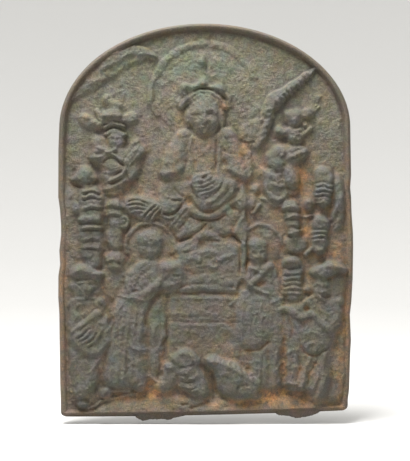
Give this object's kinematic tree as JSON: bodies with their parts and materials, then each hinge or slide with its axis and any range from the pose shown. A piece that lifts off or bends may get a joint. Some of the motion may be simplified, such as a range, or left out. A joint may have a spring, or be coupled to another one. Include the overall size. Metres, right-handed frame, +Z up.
{
  "type": "cast iron relief plaque",
  "caption": "Arched cast iron votive plaque with a raised rim and a crowded relief of a crowned seated figure among attendants, monks, guards and a lion, made to be fixed to a wall.",
  "frame": {"origin": "middle of the flat back, where the plaque rests on the wall", "axes": "+Z up the plaque's height, +X to the right as seen from the front, and the relief faces -Y, so +Y points out of the flat back into the wall"},
  "size_m": [0.1877, 0.0138, 0.2528],
  "materials": {
    "iron": "rough sand-cast surface with a dull brown-grey patina, bluish on the raised forms and rust orange in the hollows"
  },
  "bodies": {
    "root": {"plaque": "iron"}
  },
  "joints": []
}
